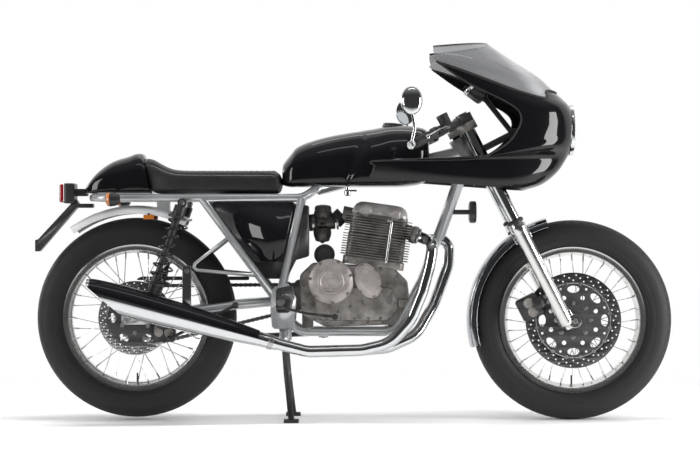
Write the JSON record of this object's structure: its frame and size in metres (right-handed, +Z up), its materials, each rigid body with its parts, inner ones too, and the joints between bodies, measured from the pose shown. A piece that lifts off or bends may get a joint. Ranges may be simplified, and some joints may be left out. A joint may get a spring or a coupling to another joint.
{
  "type": "cafe racer motorcycle",
  "caption": "Cafe racer motorcycle with half fairing, clip-on bars, wire wheels, air-cooled engine and humped seat, on its centre stand.",
  "frame": {"origin": "on the floor, midway between the tyres' foremost and the plate holder's rearmost points, in the middle plane", "axes": "+X forward, +Y to the rider's left, +Z up"},
  "size_m": [2.0728, 0.764, 1.2236],
  "materials": {
    "tyre": "black rubber",
    "rim_alloy": "polished",
    "steel": "machined",
    "chrome": "chrome",
    "frame_silver": "silver gloss",
    "gloss_black": "gloss",
    "satin_black": "satin",
    "cast_alloy": "cast",
    "fin_alloy": "cast, dull",
    "seat_leather": "grained",
    "screen_grey": "smoked",
    "lamp_glass": "clear",
    "amber": "gloss",
    "red_lens": "gloss"
  },
  "bodies": {
    "front_wheel": {"front_tyre": "tyre", "front_wheel_rim": "rim_alloy", "front_brake_disc": "steel"},
    "rear_wheel": {"rear_tyre": "tyre", "rear_wheel_rim": "rim_alloy", "rear_brake_disc": "steel", "rear_sprocket": "steel"},
    "steering": {"lower_yoke": "satin_black", "top_yoke": "cast_alloy", "fork_tube_right": "steel", "fork_tube_left": "steel", "fork_slider_right": "chrome", "fork_slider_left": "chrome", "front_axle": "steel", "front_fender": "chrome", "front_caliper": "satin_black", "handlebar_right": "satin_black", "handlebar_left": "satin_black", "mirror_right": "chrome", "mirror_left": "chrome"},
    "centre_stand": {"centre_stand": "satin_black"},
    "side_stand": {"side_stand": "satin_black"},
    "frame": {"frame": "frame_silver", "swingarm": "frame_silver", "rear_axle": "steel", "shock_right": "satin_black", "shock_left": "satin_black", "spring_right": "satin_black", "spring_left": "satin_black", "rear_fender": "frame_silver", "rear_caliper": "satin_black", "chain_guard": "satin_black", "drive_chain": "steel", "crankcase": "cast_alloy", "starter_motor": "satin_black", "cylinder": "fin_alloy", "cylinder_head": "fin_alloy", "carburettor": "cast_alloy", "airbox": "satin_black", "side_cover_right": "gloss_black", "side_cover_left": "gloss_black", "header_right": "chrome", "header_left": "chrome", "muffler": "chrome", "fuel_tank": "gloss_black", "seat": "seat_leather", "seat_cowl": "gloss_black", "tail_lamp": "red_lens", "plate_holder": "satin_black", "rear_indicator_right": "amber", "rear_indicator_left": "amber", "fairing": "gloss_black", "windscreen": "screen_grey", "headlight": "lamp_glass", "instruments": "satin_black", "horn": "satin_black", "footrest_right": "satin_black", "footrest_left": "satin_black"}
  },
  "joints": [
    {"name": "steering_turn", "type": "hinge", "parent": "frame", "child": "steering", "pos_m": [0.37201, 0, 0.84791], "axis": [-0.454, 0, 0.891], "range_deg": [-27, 27]},
    {"name": "front_wheel_spin", "type": "hinge", "parent": "steering", "child": "front_wheel", "pos_m": [0.7114, 0, 0.325], "axis": [0, 1, 0], "continuous": true},
    {"name": "rear_wheel_spin", "type": "hinge", "parent": "frame", "child": "rear_wheel", "pos_m": [-0.70659, 0, 0.333], "axis": [0, 1, 0], "continuous": true},
    {"name": "centre_stand_fold", "type": "hinge", "parent": "frame", "child": "centre_stand", "pos_m": [-0.225, 0, 0.268], "axis": [0, 1, 0], "range_deg": [0, 78]},
    {"name": "side_stand_fold", "type": "hinge", "parent": "frame", "child": "side_stand", "pos_m": [-0.1, 0.137, 0.274], "axis": [0, -0.932, -0.3625], "range_deg": [0, 100]}
  ]
}
